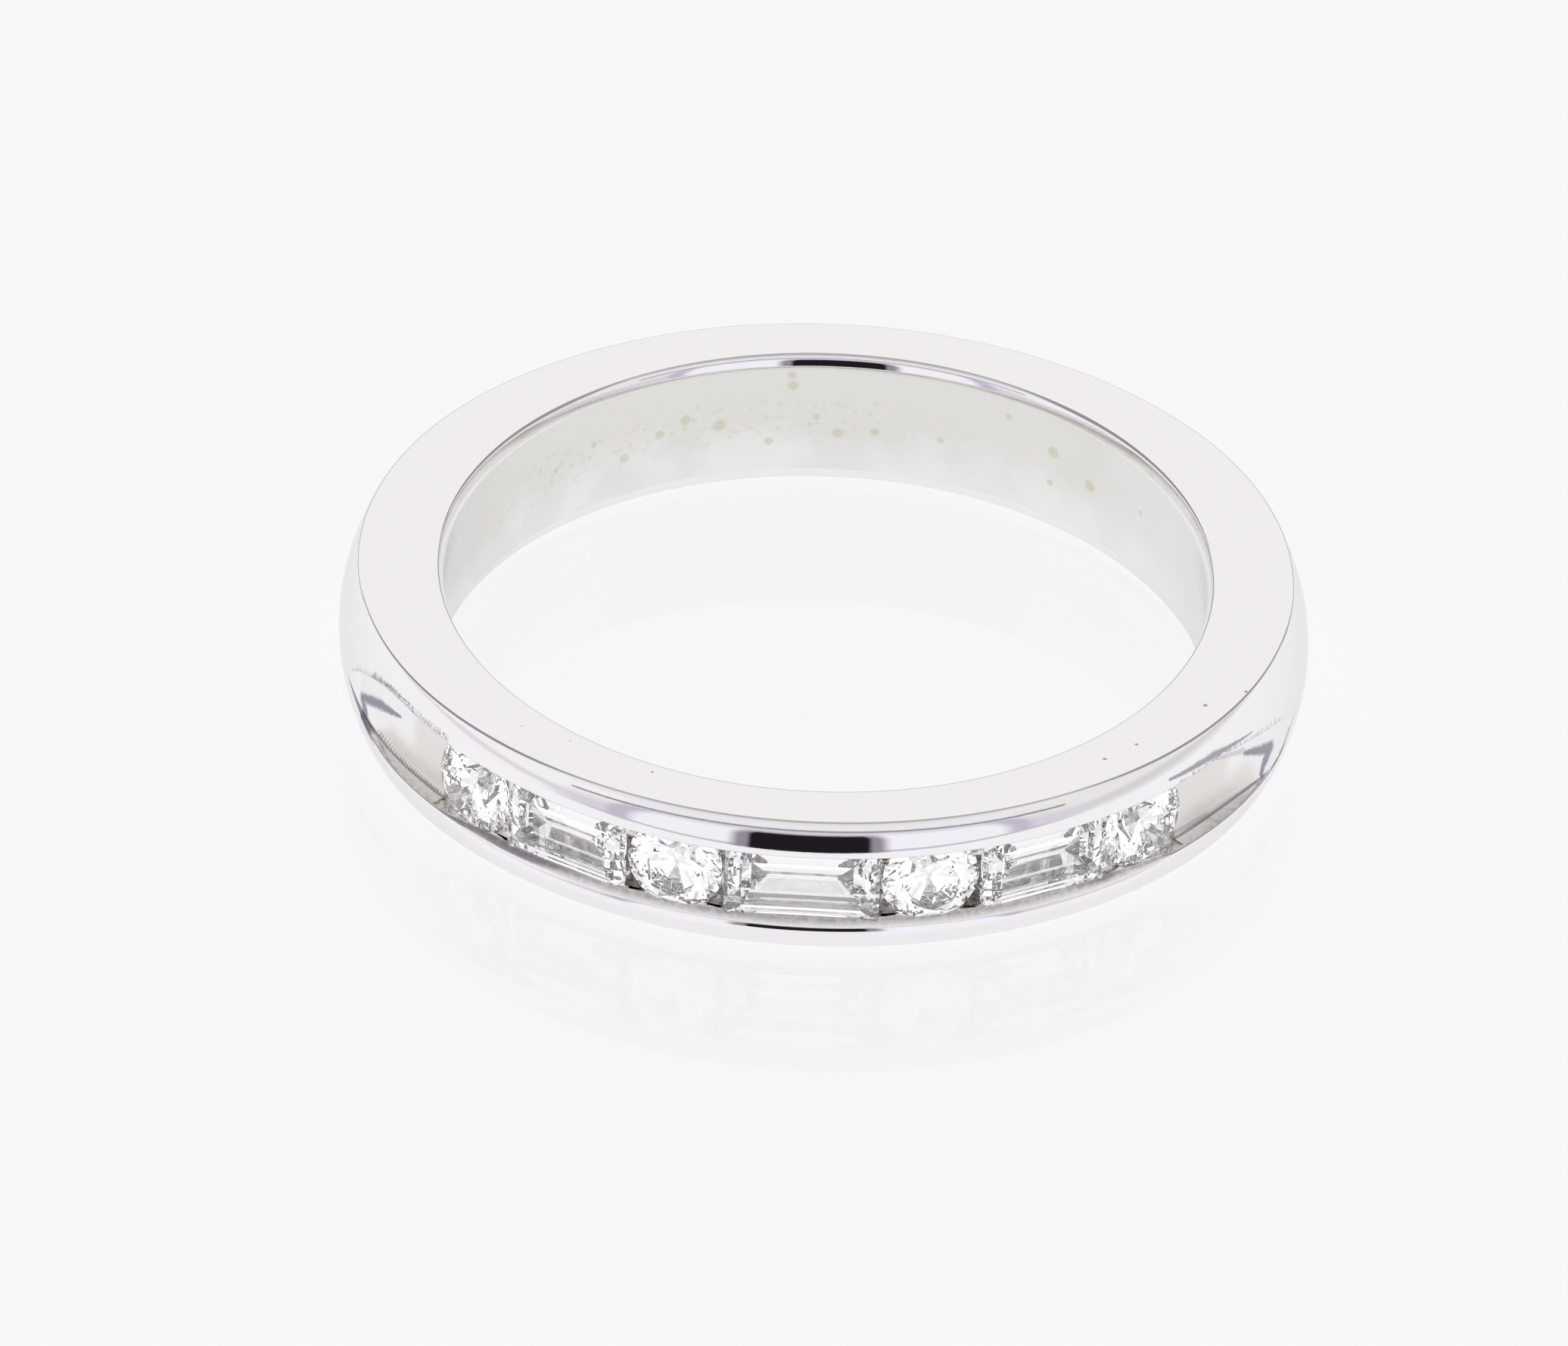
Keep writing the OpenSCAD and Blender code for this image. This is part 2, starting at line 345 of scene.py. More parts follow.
def channelSide(turn, upper):  # lip and half of the channel: (half height, depth, satin, grime and painted shade)
    beyond = -lengthToTip(turn)
    if beyond >= 0:
        fanHeight, fanLength = bandShape["tipFan"]
        spread = bandShape["leastHalf"] + fanHeight * blendBetween(beyond, 0, fanLength)
        halves = [spread * (1 - k / bandShape["sideRows"]) for k in range(bandShape["sideRows"])]
        return [(half, domeDrop(midZ + half), 0, 0) for half in halves]
    width = max(lipHalf(turn, upper), bandShape["leastHalf"])
    slender = min(1, width / bandShape["slenderHalf"])
    beadShare = max(spanShare(turn, low, high, 3) for low, high in cutsAndPaintedShade["beadTurns"]) if upper else 0
    rounding = (bandShape["lipRadius"] + cutsAndPaintedShade["beadRounding"][sideOf(turn)] * beadShare) * slender
    nearRow = 1 - blendBetween(abs(turn), *cutsAndPaintedShade["grimeAndShadeEnd"])
    side = []
    if upper:
        start = domeDrop(midZ + width + rounding)
        for angle in (0, 15, 30, 45, 60, 75, 90):
            swing = math.radians(angle)
            # the upper lip's inner edge beside the stones gets a painted shade line
            dirtAndShade = 0.55 * nearRow if angle > 60 else 0
            half = width + rounding * (1 - math.sin(swing))
            side.append((half, start + rounding * (1 - math.cos(swing)), 0, dirtAndShade))
        lipDepth = start + rounding
    else:
        roll = slender * mix(1, bandShape["rollLeft"], blendBetween(abs(turn), *bandShape["rollEnd"]))
        last = bandShape["lowerLipRoll"][0][0] * roll
        depth = domeDrop(midZ + width + last)
        for offset, tilt in bandShape["lowerLipRoll"]:
            depth += (last - offset * roll) * math.tan(math.radians(tilt))
            last = offset * roll
            # the lower lip's roll beside the stones is darkened: grime and painted shade
            dirtAndShade = nearRow * (0.3 if tilt > 40 else 0.1 if tilt > 20 else 0)
            side.append((width + last, depth, 0, dirtAndShade))
        side.append((width + 0.3 * last, depth + 0.7 * last, 0, 0.15))
        side.append((width, depth + 1.6 * last, 0, 0.3))
        lipDepth = depth + 1.6 * last
    endOfRow = max(roundTurns) + math.degrees(math.atan(
        (bandShape["roundRadius"] + bandShape["seatGap"]) / (frontArc - bandShape["girdleDepth"])))
    if abs(turn) < endOfRow:
        crowd = girdleUnder(turn)[3]
        for half, depth in pocketProfile(turn, width, lipDepth):
            satin = 1 if depth == bandShape["floorDepth"] else 0
            # pocket walls darker near the lips and towards the stones' ends: grime and painted shade
            wall = mix(0.3, 0.85, crowd) if depth < 0.65 else mix(0.03, 0.9, crowd)
            side.append((half, depth, satin, wall * (1 - satin)))
        return side
    endLow, endHigh = cutsAndPaintedShade["satinEnds"][sideOf(turn)]
    for k, (half, depth) in enumerate(bareProfile(turn, width, lipDepth, upper)):
        z = midZ + (half if upper else -half)
        end = mix(endLow, endHigh, blendBetween(z, 0.9, 2.2))
        satin = (1 - blendBetween(abs(turn), end - 2, end + 1)) * blendBetween(k, 1.5, 4.5)
        onWall = 0 if upper else (1 - blendBetween(abs(turn), 72, 76)) * (1 - blendBetween(k, 2, 6))
        side.append((half, depth, max(satin, 0.25 * onWall), 0.04 * onWall))
    return side


def sectionAt(turn):  # one closed section of the band: (reach, z, satin, grime and painted shade) for each row
    _, crown = arcOf(turn)
    bore = reachTo(boreRadius, turn)
    boreEnd = bandShape["boreEnd"]
    last = bandShape["boreRows"] - 1
    rows = [(bore, mix(boreEnd, bandHeight - boreEnd, k / last), 0, 0) for k in range(last + 1)]
    rim = [(reachTo(boreRadius + inward, turn), midZ - below, 0, 0)
           for inward, below in bandShape["boreBevel"]]
    flatFrom, flatTo = rim[-1][0], crown - roundedEdge[0][0]
    rim += [(mix(flatFrom, flatTo, share), midZ, 0, 0) for share in (0.04, 0.5, 0.97)]
    rim += [(crown - drop, height, 0, 0) for drop, height in roundedEdge]
    halves = []
    for isUpper in (True, False):
        side = channelSide(turn, isUpper)
        edgeHeight, lipHeight = roundedEdge[-1][1], side[0][0]
        dome = [mix(edgeHeight, lipHeight, k / 8) for k in range(1, 8)]
        half = rim + [(crown - domeDrop(midZ + height), height, 0, 0) for height in dome]
        half += [(crown - depth, height, satin, grimeAndShade) for height, depth, satin, grimeAndShade in side]
        halves.append(half)
    upper, lower = halves
    rows.extend((reach, midZ + height, satin, grimeAndShade) for reach, height, satin, grimeAndShade in upper)
    rows.append((upper[-1][0], midZ, *upper[-1][2:]))
    rows.extend((reach, midZ - height, satin, grimeAndShade) for reach, height, satin, grimeAndShade in reversed(lower))
    return rows


def columnTurns():
    turns = []
    for low, high, step in bandShape["columnZones"]:
        count = round((high - low) / step)
        turns.extend(mix(low, high, k / count) for k in range(count))
    return turns


def buildBand():
    rows, turns = bandShape["sectionRows"], columnTurns()
    clearSelection()
    tubeCentre = 10 * mm  # of the plain ring whose points are then moved to the band's sections
    bpy.ops.mesh.primitive_circle_add(vertices=rows, radius=mm, location=(tubeCentre, 0, 0),
                                      rotation=(math.radians(90), 0, 0))
    band = bpy.context.object
    bpy.ops.object.transform_apply(location=True, rotation=True, scale=True)
    bpy.ops.object.modifier_add(type="SCREW")
    screw = band.modifiers[-1]
    screw.steps = screw.render_steps = len(turns)
    screw.angle = 2 * math.pi
    screw.use_merge_vertices = False
    bpy.ops.object.modifier_apply(modifier=screw.name)
    band.name = "polishedBand"
    sections = [sectionAt(turn) for turn in turns]
    arcs = [(*arcOf(turn)[0], *outwardOf(turn)) for turn in turns]
    places, satin, grimeAndShade, beads, hatch = [], [], [], [], []
    boreRows = bandShape["boreRows"]
    halfRows = (rows - boreRows - 1) // 2  # from the bore's wall over a flat face to the channel's middle
    beforeSide = halfRows - bandShape["sideRows"]
    for v in band.data.vertices:
        around = math.atan2(v.co.y, v.co.x) / (2 * math.pi) * len(turns)
        column = round(around) % len(turns)
        upTube = math.atan2(v.co.z, math.hypot(v.co.x, v.co.y) - tubeCentre) / (2 * math.pi) * rows
        row = (rows // 2 - round(upTube)) % rows
        reach, z, satinShare, grimeAndShadeShare = sections[column][row]
        cx, cy, nx, ny = arcs[column]
        places.extend(((cx + reach * nx) * mm, (cy + reach * ny) * mm, z * mm))
        satin.append(satinShare)
        grimeAndShade.append(grimeAndShadeShare)
        turn = turns[column]
        strength = max(spanShare(turn, low, high, 2) for low, high in cutsAndPaintedShade["beadTurns"])
        lipRow = row - boreRows - beforeSide
        nearTip = abs(turn) >= 66
        firstRow = -1 if turn < 0 and not nearTip else 0
        beads.append(strength if firstRow <= lipRow <= (3 if nearTip else 5) else 0)
        lowRow = boreRows + 2 * halfRows - row - beforeSide
        hatch.append(spanShare(turn, *cutsAndPaintedShade["hatchTurns"], 2) if 9 <= lowRow <= 12 else 0)
    band.data.vertices.foreach_set("co", places)
    for name, values in (("satin", satin), ("grimeAndShade", grimeAndShade), ("beads", beads), ("hatch", hatch)):
        band.data.attributes.new(name, "FLOAT", "POINT").data.foreach_set("value", values)
    bpy.ops.object.mode_set(mode="EDIT")
    bpy.ops.mesh.select_all(action="SELECT")
    bpy.ops.mesh.normals_make_consistent(inside=False)
    bpy.ops.object.mode_set(mode="OBJECT")
    bpy.ops.object.shade_smooth_by_angle(angle=math.radians(bandShape["smoothUnder"]))
    print("band", len(band.data.vertices), "points,", len(turns), "columns")
    return band


band = buildBand()


def addNode(tree, kind, inputs=None, **settings):
    node = tree.nodes.new(kind)
    for key, value in settings.items():
        setattr(node, key, value)
    for key, value in (inputs or {}).items():
        if isinstance(value, bpy.types.NodeSocket):
            tree.links.new(value, node.inputs[key])
        else:
            node.inputs[key].default_value = value
    return node


def calc(tree, operation, *values):
    return addNode(tree, "ShaderNodeMath", dict(enumerate(values)), operation=operation).outputs[0]


def rampUp(tree, value, low, high):  # 0 below low, 1 above high
    return addNode(tree, "ShaderNodeMapRange", {"Value": value, "From Min": low, "From Max": high},
                   interpolation_type="SMOOTHSTEP").outputs["Result"]


def within(tree, value, low, high, soft):
    rise = rampUp(tree, value, low - soft / 2, low + soft / 2)
    fall = rampUp(tree, value, high - soft / 2, high + soft / 2)
    return calc(tree, "MULTIPLY", rise, calc(tree, "SUBTRACT", 1.0, fall))


def mixColours(tree, share, a, b):
    node = addNode(tree, "ShaderNodeMix", data_type="RGBA")
    for socket, value in ((node.inputs[0], share), (node.inputs[6], a), (node.inputs[7], b)):
        if isinstance(value, bpy.types.NodeSocket):
            tree.links.new(value, socket)
        else:
            socket.default_value = value if isinstance(value, float) else (*value, 1)
    return node.outputs[2]


# A white tent seen from the ring: colours are light levels, turns are from the camera, rises over the floor.
lightTent = {
    "horizon": (0.86, 0.85, 0.87),
    "top": (0.44, 0.435, 0.45),
    "seenBehind": (0.955, 0.96, 0.97),
    "behind": (135, 225, -9, 66, 20, 30, (0.95, 0.937, 0.945)),
    "patches": [  # turn from, turn to, rise from, rise to, corner, softness, colour
        (-400, 400, -30, 17, 1, 6, (0.87, 0.89, 0.93)),
        (-150, -42, -30, 13, 2, 8, (0.97, 0.955, 0.975)),
        (42, 150, -30, 13, 2, 8, (0.86, 0.845, 0.84)),
        (-160, -50, 0.4, 3, 0.6, 1.6, (0.76, 0.745, 0.8)),
        (50, 160, -1, 3.2, 1, 3, (0.7, 0.69, 0.74)),
        (-200, -132, -5, 8, 2, 4, (0.25, 0.24, 0.25)),
        (132, 200, -5, 8, 2, 4, (0.25, 0.24, 0.25)),
    ],
    "sideFill": (0.86, 0.84, 0.85),
    "sideScreens": [  # as patches; dark in the first reflection of a sight line, sideFill in later ones
        (-143, -65, 15, 60, 12, 10, (0.3, 0.29, 0.33)),
        (71, 146, 13, 54, 12, 10, (0.33, 0.32, 0.35)),
    ],
    "panels": [  # the same on an upright wall before the ring, where straight edges stay straight
        (-55, 55, 11.2, 12.6, 0.6, 0.8, (0.22, 0.18, 0.2)),
        (-58, 57, -30, 8.5, 8, 12, (0.71, 0.69, 0.77)),
        (-46, 46.5, -30, 11.2, 7, 3, (0.56, 0.54, 0.66)),
        (-40.5, 41.5, -30, 10.4, 8, 4, (0.95, 0.94, 1.01)),
        (-50, 50, -2.6, -1.2, 0.4, 0.6, (0.6, 0.58, 0.66)),
        (-18, 14.8, -12, 9.6, 4, 3.4, (0.3, 0.28, 0.33)),
        (-14.5, 11.5, -12, 9.1, 2.4, 1.4, (0.014, 0.012, 0.016)),
    ],
    "stoneTones": (0.62, 1.36),     # darkest and brightest part of what the cut stones mirror
    "stoneToneScale": 2.4,
}


def patchShare(tree, turn, rise, patch):  # 1 inside a rounded patch of directions, 0 outside it
    turnFrom, turnTo, riseFrom, riseTo, corner, softness, _ = patch
    sides = []
    for value, low, high in ((turn, turnFrom, turnTo), (rise, riseFrom, riseTo)):
        away = calc(tree, "ABSOLUTE", calc(tree, "SUBTRACT", value, (low + high) / 2))
        away = calc(tree, "MAXIMUM", calc(tree, "SUBTRACT", away, (high - low) / 2 - corner), 0.0)
        sides.append(calc(tree, "MULTIPLY", away, away))
    away = calc(tree, "SQRT", calc(tree, "ADD", *sides))
    return calc(tree, "SUBTRACT", 1.0, rampUp(tree, away, corner - softness / 2, corner + softness / 2))


def buildTent(tent, cameraTurn):
    world = bpy.data.worlds.new("tent")
    bpy.context.scene.world = world
    world.use_nodes = True
    tree = world.node_tree
    tree.nodes.clear()
    toward = addNode(tree, "ShaderNodeTexCoord").outputs["Generated"]
    axes = addNode(tree, "ShaderNodeSeparateXYZ", {0: toward}).outputs
    turn = calc(tree, "ARCTAN2", axes[0], calc(tree, "MULTIPLY", axes[1], -1.0))
    turn = calc(tree, "SUBTRACT", calc(tree, "DEGREES", turn), cameraTurn)
    wrapped = calc(tree, "WRAP", turn, 0.0, 360.0)
    rise = calc(tree, "DEGREES", calc(tree, "ARCSINE", axes[2]))
    colour = mixColours(tree, rampUp(tree, rise, 10, 75), tent["horizon"], tent["top"])
    colour = mixColours(tree, patchShare(tree, wrapped, rise, tent["behind"]), colour, tent["behind"][-1])
    for patch in tent["patches"]:
        colour = mixColours(tree, patchShare(tree, turn, rise, patch), colour, patch[-1])
    path = addNode(tree, "ShaderNodeLightPath").outputs
    first = calc(tree, "LESS_THAN", path["Ray Depth"], 2.5)
    for screen in tent["sideScreens"]:
        screenTone = mixColours(tree, first, tent["sideFill"], screen[-1])
        colour = mixColours(tree, patchShare(tree, turn, rise, screen), colour, screenTone)
    ahead = calc(tree, "MAXIMUM", calc(tree, "COSINE", calc(tree, "RADIANS", turn)), 0.2)
    upright = calc(tree, "DIVIDE", calc(tree, "TANGENT", calc(tree, "RADIANS", rise)), ahead)
    upright = calc(tree, "DEGREES", calc(tree, "ARCTANGENT", upright))
    for panel in tent["panels"]:
        colour = mixColours(tree, patchShare(tree, turn, upright, panel), colour, panel[-1])
    cells = addNode(tree, "ShaderNodeTexVoronoi", {"Vector": toward, "Scale": tent["stoneToneScale"]})
    darkest, brightest = tent["stoneTones"]
    tone = addNode(tree, "ShaderNodeMapRange", {"Value": cells.outputs["Color"], "From Max": 0.3,
                                                "To Min": darkest, "To Max": brightest}).outputs["Result"]
    cooler = calc(tree, "MULTIPLY", tone, 1.02)
    tone = addNode(tree, "ShaderNodeCombineXYZ", {0: tone, 1: tone, 2: cooler}).outputs[0]
    colour = mixColours(tree, calc(tree, "MULTIPLY", path["Is Transmission Ray"], 0.85), colour, tone)
    colour = mixColours(tree, path["Is Camera Ray"], colour, tent["seenBehind"])
    light = addNode(tree, "ShaderNodeBackground", {"Color": colour, "Strength": 1.0})
    addNode(tree, "ShaderNodeOutputWorld", {"Surface": light.outputs[0]})


def newMaterial(name):
    material = bpy.data.materials.new(name)
    material.use_nodes = True
    return material, material.node_tree, material.node_tree.nodes["Principled BSDF"]


def connect(tree, shader, **sockets):
    for name, value in sockets.items():
        tree.links.new(value, shader.inputs[name.replace("_", " ")])


# What wear and water left on the metal, with the shade and reflections painted on it. A turn on the wall of
# the hole starts at the back.
wearAndPaintedShade = {
    "waterSpots": [  # turn from the back, height, radius
        (-24.2, 1.97, 0.15), (-18.7, 1.67, 0.17), (-28.4, 1.71, 0.14), (-34.4, 1.33, 0.14),
        (-3.9, 1.75, 0.1), (-0.6, 1.33, 0.14), (5.0, 1.43, 0.12), (15.2, 1.48, 0.09),
        (26.2, 2.62, 0.09), (34.3, 2.13, 0.17), (33.9, 1.27, 0.1), (41.7, 1.73, 0.17),
        (53.6, 1.96, 0.07), (-7.8, 2.9, 0.12), (-7.6, 2.62, 0.15), (-11.0, 1.11, 0.12), (-47.6, 1.78, 0.09),
        (-40.1, 2.01, 0.09),
    ],
    "spotColour": (0.6, 0.54, 0.36),
    "pits": [  # x, y and radius on the upper face
        (8.79, -4.56, 0.06), (9.68, -3.93, 0.05), (7.31, -6.27, 0.05), (6.62, -6.91, 0.055),
        (-6.53, -6.87, 0.025), (-5.41, -7.34, 0.025), (-3.5, -8.4, 0.04),
    ],
    "pitColour": (0.3, 0.28, 0.28),
    # the bore wall's two tones are painted shade: darker than the polish, the second one darker still
    "wallShadeTone": (0.89, 0.88, 0.865),
    "wallDeepShade": (0.78, 0.775, 0.735),
    "satinColour": (0.83, 0.808, 0.77),
    "polish": (0.925, 0.908, 0.905),
    "grazingTint": (0.88, 0.88, 0.885),
    # colour of the painted dark reflections and shade at the channel's points
    "paintedShadeColour": (0.27, 0.265, 0.32),
    # brown for the grime and painted shade in the channel, and for the painted shade in the bead gaps and
    # hatch cuts
    "grimeAndShadeColour": (0.3, 0.24, 0.19),
}


def nearSpots(tree, across, along, spots, scale):  # 1 inside any of the round spots, 0 outside them all
    share = None
    for x, y, radius in spots:
        dx = calc(tree, "MULTIPLY", calc(tree, "SUBTRACT", across, x), scale)
        dy = calc(tree, "SUBTRACT", along, y)
        away = calc(tree, "SQRT", calc(tree, "MULTIPLY_ADD", dx, dx, calc(tree, "MULTIPLY", dy, dy)))
        inside = calc(tree, "SUBTRACT", 1.0, rampUp(tree, away, 0.6 * radius, 1.1 * radius))
        share = inside if share is None else calc(tree, "MAXIMUM", share, inside)
    return share


def stripes(tree, phase):  # 0 in the middle of each repeat, 1 at its ends
    away = calc(tree, "ABSOLUTE", calc(tree, "SUBTRACT", calc(tree, "FRACT", phase), 0.5))
    return calc(tree, "MULTIPLY", away, 2.0)


def strokesOn(tree, along, z, noise, strokes):  # 1 on any of the painted shade strokes, 0 beside them all
    share = None
    for fromTurn, fromZ, toTurn, toZ, fromWide, toWide, strength in strokes:
        dx, dz = (toTurn - fromTurn) * math.radians(1) * shoulderArc, toZ - fromZ
        px = calc(tree, "SUBTRACT", along, math.radians(fromTurn) * shoulderArc)
        pz = calc(tree, "SUBTRACT", z, fromZ)
        part = calc(tree, "MULTIPLY_ADD", px, dx, calc(tree, "MULTIPLY", pz, dz))
        part = calc(tree, "DIVIDE", part, dx * dx + dz * dz)
        part = calc(tree, "MINIMUM", calc(tree, "MAXIMUM", part, 0.0), 1.0)
        px = calc(tree, "MULTIPLY_ADD", part, -dx, px)
        pz = calc(tree, "MULTIPLY_ADD", part, -dz, pz)
        away = calc(tree, "SQRT", calc(tree, "MULTIPLY_ADD", px, px, calc(tree, "MULTIPLY", pz, pz)))
        half = calc(tree, "MULTIPLY_ADD", part, (toWide - fromWide) / 2, fromWide / 2)
        away = calc(tree, "DIVIDE", away, half)
        away = calc(tree, "ADD", away, calc(tree, "MULTIPLY_ADD", noise, 0.8, -0.4))
        inside = calc(tree, "MULTIPLY", calc(tree, "SUBTRACT", 1.0, rampUp(tree, away, 0.35, 1.25)), strength)
        share = inside if share is None else calc(tree, "MAXIMUM", share, inside)
    return share


def makeWhiteGold():
    material, tree, shader = newMaterial("whiteGold")
    shader.inputs["Metallic"].default_value = 1
    shader.inputs["Specular Tint"].default_value = (*wearAndPaintedShade["grazingTint"], 1)
    place = addNode(tree, "ShaderNodeTexCoord").outputs["Object"]
    place = addNode(tree, "ShaderNodeVectorMath", {0: place, 1: (1 / mm, 1 / mm, 1 / mm)},
                    operation="MULTIPLY").outputs[0]
    x, y, z = addNode(tree, "ShaderNodeSeparateXYZ", {0: place}).outputs
    satin, grimeAndShade, beads, hatch = [addNode(tree, "ShaderNodeAttribute", attribute_name=name).outputs["Fac"]
                                  for name in ("satin", "grimeAndShade", "beads", "hatch")]
    noise = {}
    for name, scale, detail in (("grain", 9, 3), ("cloud", 0.55, 4), ("speck", 6, 5), ("fine", 7, 2)):
        noise[name] = addNode(tree, "ShaderNodeTexNoise", {"Vector": place, "Scale": float(scale),
                                                           "Detail": float(detail)}).outputs["Fac"]
    radius = calc(tree, "SQRT", calc(tree, "MULTIPLY_ADD", x, x, calc(tree, "MULTIPLY", y, y)))
    wall = calc(tree, "SUBTRACT", 1.0, rampUp(tree, radius, boreRadius + 0.004, boreRadius + 0.02))
    top = rampUp(tree, z, bandHeight - 0.02, bandHeight - 0.004)
    backTurn = calc(tree, "DEGREES", calc(tree, "ARCTAN2", x, y))

    # painted shade on the bore wall: darker higher up and in cloudy patches, lighter on the right
    wallShadeShare = calc(tree, "MULTIPLY_ADD", rampUp(tree, noise["cloud"], 0.4, 0.62), 0.5, rampUp(tree, z, 0.5, 2.2))
    lessShadeRight = calc(tree, "MULTIPLY", rampUp(tree, backTurn, 20, 70), 0.8)
    wallShadeShare = calc(tree, "MULTIPLY", wallShadeShare, calc(tree, "SUBTRACT", 1.0, lessShadeRight))
    wallShadeShare = calc(tree, "MINIMUM", wallShadeShare, 1.0)
    wallColour = mixColours(tree, wallShadeShare, wearAndPaintedShade["wallShadeTone"], wearAndPaintedShade["wallDeepShade"])
    spots = nearSpots(tree, backTurn, z, wearAndPaintedShade["waterSpots"], math.radians(1) * boreRadius)
    speckZone = calc(tree, "MULTIPLY", within(tree, z, 1.2, 2.3, 0.9), within(tree, backTurn, -62, 8, 30))
    specks = calc(tree, "MULTIPLY", rampUp(tree, noise["speck"], 0.54, 0.72), speckZone)
    spots = calc(tree, "MAXIMUM", calc(tree, "MULTIPLY", spots, 0.6), calc(tree, "MULTIPLY", specks, 0.5))
    wallColour = mixColours(tree, calc(tree, "MULTIPLY", spots, 0.8), wallColour, wearAndPaintedShade["spotColour"])

    colour = mixColours(tree, satin, wearAndPaintedShade["polish"], wearAndPaintedShade["satinColour"])
    colour = mixColours(tree, wall, colour, wallColour)
    pits = calc(tree, "MULTIPLY", nearSpots(tree, x, y, wearAndPaintedShade["pits"], 1.0), top)
    colour = mixColours(tree, calc(tree, "MULTIPLY", pits, 0.8), colour, wearAndPaintedShade["pitColour"])
    sideways = calc(tree, "SUBTRACT", calc(tree, "ABSOLUTE", x), arcShift)
    frontTurn = calc(tree, "ARCTAN2", sideways, calc(tree, "MULTIPLY", y, -1.0))
    frontTurn = calc(tree, "MULTIPLY", frontTurn, calc(tree, "SIGN", x))
    along = calc(tree, "MULTIPLY", frontTurn, shoulderArc)
    outer = rampUp(tree, radius, boreRadius + 0.9, boreRadius + 1.1)
    # painted dark reflections and shade at the channel's points, also made rougher there
    paintedShadeShare = calc(tree, "MULTIPLY", outer, strokesOn(tree, along, z, noise["speck"], cutsAndPaintedShade["paintedShadeStrokes"]))
    colour = mixColours(tree, paintedShadeShare, colour, wearAndPaintedShade["paintedShadeColour"])
    beads = calc(tree, "MULTIPLY", beads, rampUp(tree, noise["fine"], 0.36, 0.5))
    beadPhase = calc(tree, "DIVIDE", along, cutsAndPaintedShade["beadPitch"])
    beadWave = stripes(tree, calc(tree, "MULTIPLY_ADD", noise["speck"], 3.5, beadPhase))
    hatchPhase = calc(tree, "DIVIDE", along, cutsAndPaintedShade["hatchPitch"])
    hatchWave = stripes(tree, calc(tree, "MULTIPLY_ADD", z, -1.2, hatchPhase))
    # the gaps between the beads and the hatch cuts are darkened with painted shade
    beadCuts = calc(tree, "MULTIPLY", beads, rampUp(tree, beadWave, 0.6, 0.95))
    hatchCuts = calc(tree, "MULTIPLY", hatch, rampUp(tree, hatchWave, 0.5, 0.85))
    cuts = calc(tree, "MAXIMUM", beadCuts, calc(tree, "MULTIPLY", hatchCuts, 0.75))
    # grime and painted shade along the channel's lips and pocket walls
    dirtAndShade = calc(tree, "MULTIPLY", grimeAndShade, calc(tree, "ADD", 0.55, rampUp(tree, noise["fine"], 0.35, 0.6)))
    dirtAndShade = calc(tree, "MAXIMUM", dirtAndShade, calc(tree, "MULTIPLY", cuts, 0.8))
    colour = mixColours(tree, calc(tree, "MINIMUM", dirtAndShade, 1.0), colour, wearAndPaintedShade["grimeAndShadeColour"])

    rough = calc(tree, "MULTIPLY_ADD", satin, 0.3, 0.03)
    rough = calc(tree, "MULTIPLY_ADD", grimeAndShade, 0.3, rough)
    rough = calc(tree, "MULTIPLY_ADD", paintedShadeShare, 0.16, rough)
    rough = calc(tree, "MULTIPLY_ADD", wall, calc(tree, "MULTIPLY", noise["cloud"], 0.3), rough)
    rough = calc(tree, "MULTIPLY_ADD", pits, 0.3, rough)
    relief = calc(tree, "MULTIPLY_ADD", calc(tree, "ADD", satin, grimeAndShade), 0.25, 0.006)
    relief = calc(tree, "MAXIMUM", relief, calc(tree, "MAXIMUM", beads, hatch))
    height = calc(tree, "SUBTRACT", noise["grain"], calc(tree, "MULTIPLY", pits, 40.0))
    beadRelief = calc(tree, "MULTIPLY", beads, beadWave)
    height = calc(tree, "SUBTRACT", height, calc(tree, "MULTIPLY", beadRelief, 2.5))
    height = calc(tree, "SUBTRACT", height, calc(tree, "MULTIPLY", cuts, 0.6))
    bump = addNode(tree, "ShaderNodeBump", {"Height": height, "Strength": relief, "Distance": 0.00002})
    connect(tree, shader, Base_Color=colour, Roughness=rough, Normal=bump.outputs[0])
    return material


diamondLook = {
    "tints": ((0.985, 0.99, 1), (1, 0.995, 0.985)),
    "ior": 2.417,
}


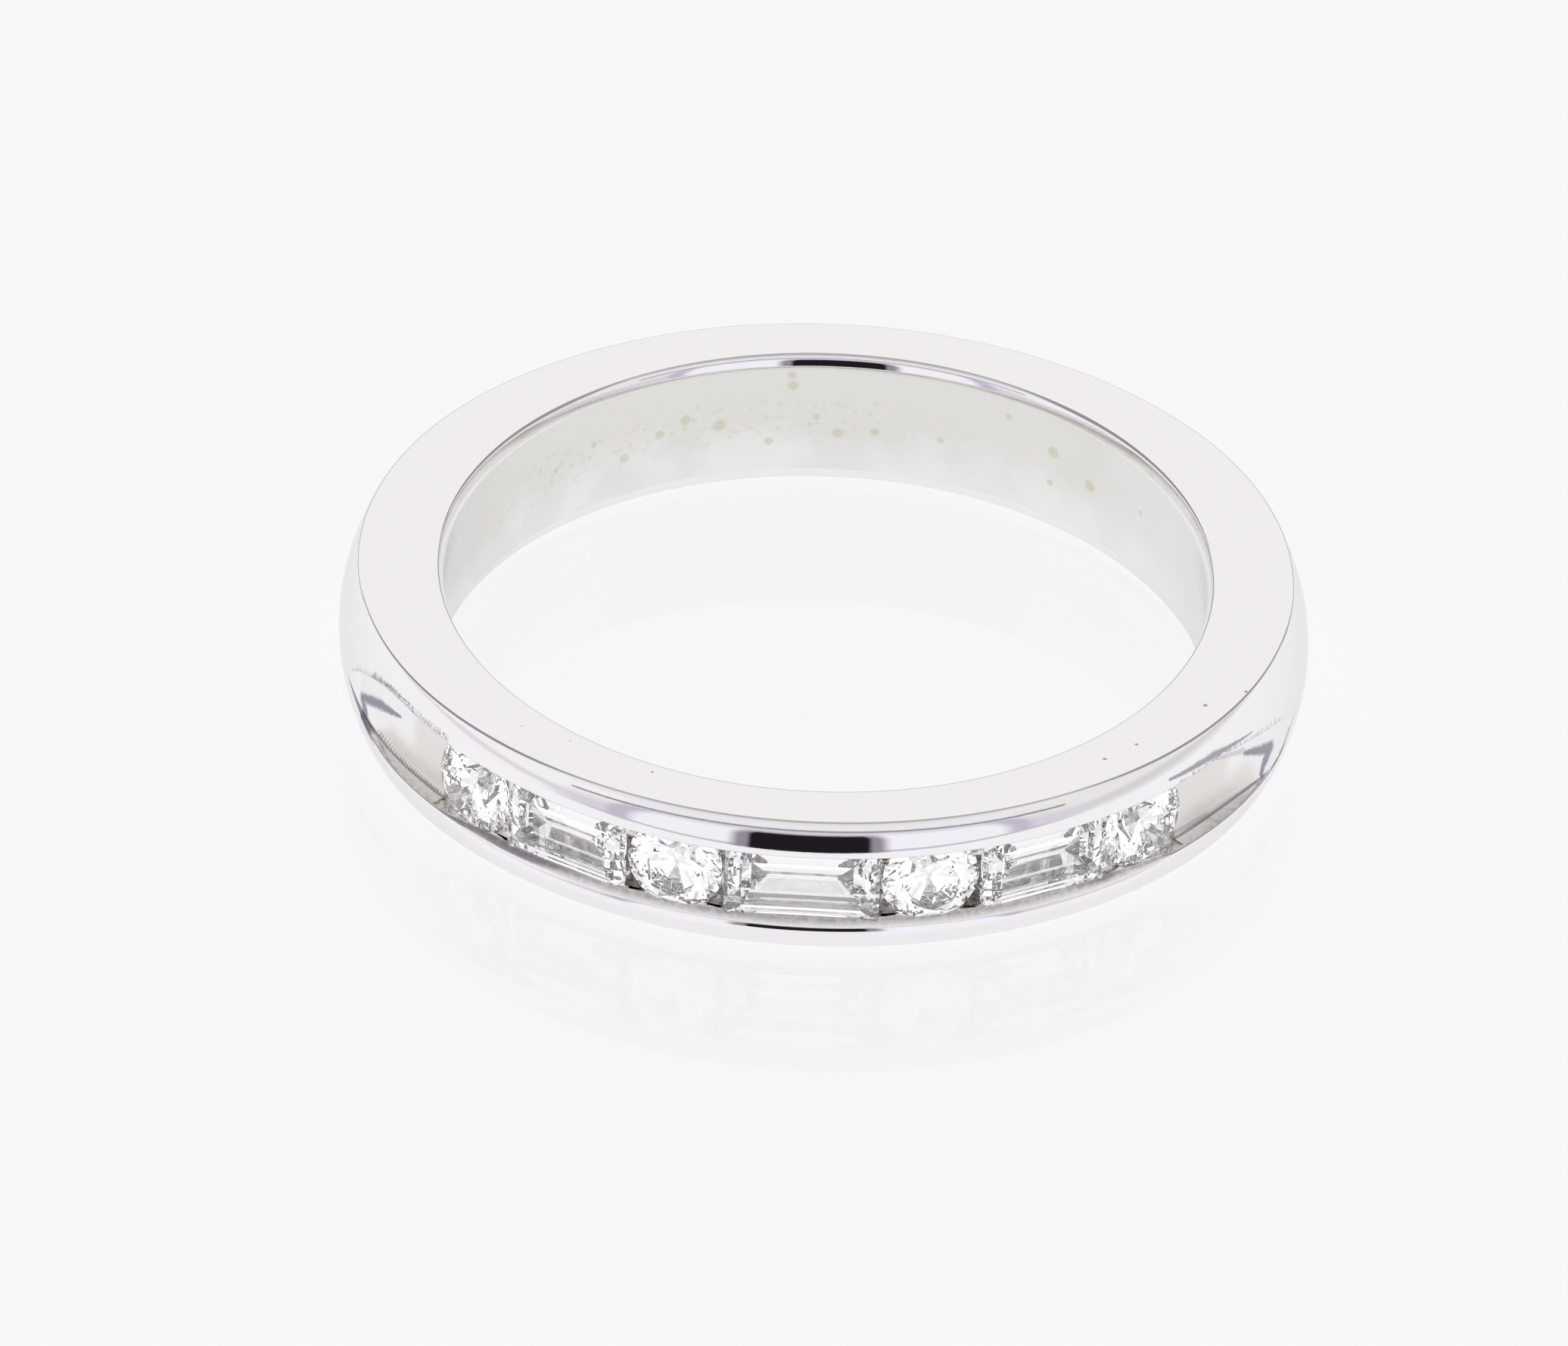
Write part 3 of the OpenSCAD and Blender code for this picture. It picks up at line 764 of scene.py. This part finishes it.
def makeDiamond():
    material, tree, shader = newMaterial("diamond")
    place = addNode(tree, "ShaderNodeTexCoord").outputs["Object"]
    cloud = addNode(tree, "ShaderNodeTexNoise", {"Vector": place, "Scale": 900.0, "Detail": 2.0})
    connect(tree, shader, Base_Color=mixColours(tree, cloud.outputs["Fac"], *diamondLook["tints"]))
    shader.inputs["Roughness"].default_value = 0
    shader.inputs["IOR"].default_value = diamondLook["ior"]
    shader.inputs["Transmission Weight"].default_value = 1
    return material


floorLook = {
    "glow": (0.768, 0.772, 0.782),
    "base": (0.22, 0.22, 0.225),
    "mirror": 0.05,
    "mirrorRoughness": 0.06,
    "width": 132,
    "gap": 0.01,  # under the ring, so that the two faces don't flicker
}


def makeFloor():
    material, tree, shader = newMaterial("paleGloss")
    tree.nodes.remove(shader)
    glow = addNode(tree, "ShaderNodeEmission", {"Color": (*floorLook["glow"], 1)}).outputs[0]
    matt = addNode(tree, "ShaderNodeBsdfDiffuse", {"Color": (*floorLook["base"], 1)}).outputs[0]
    gloss = addNode(tree, "ShaderNodeBsdfGlossy", {"Color": (1, 1, 1, 1),
                                                   "Roughness": floorLook["mirrorRoughness"]}).outputs[0]
    mixed = addNode(tree, "ShaderNodeMixShader", {0: floorLook["mirror"], 1: matt, 2: gloss}).outputs[0]
    total = addNode(tree, "ShaderNodeAddShader", {0: glow, 1: mixed}).outputs[0]
    tree.links.new(total, tree.nodes["Material Output"].inputs["Surface"])
    clearSelection()
    bpy.ops.mesh.primitive_plane_add(size=floorLook["width"] * mm, location=(0, 0, -floorLook["gap"] * mm))
    floor = bpy.context.object
    floor.name = "paleFloor"
    bpy.ops.object.transform_apply(location=True, rotation=True, scale=True)
    floor.data.materials.append(material)


placeCamera(photoView, bandHeight)
buildTent(lightTent, photoView["turn"])
makeFloor()
band.data.materials.append(makeWhiteGold())
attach(band, "root")
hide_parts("band")
diamond = makeDiamond()
for node in roundNodes + baguetteNodes:
    stone = frame["nodes"][node]
    stone.data.materials.clear()
    stone.data.materials.append(diamond)
    print(node, "turn", round(stoneTurn(node), 2))

bpy.context.scene.view_settings.view_transform = "Standard"
stoneBounces = 24  # light turns many times inside a cut stone
for kind in ("max_bounces", "glossy_bounces", "transmission_bounces"):
    setattr(bpy.context.scene.cycles, kind, stoneBounces)
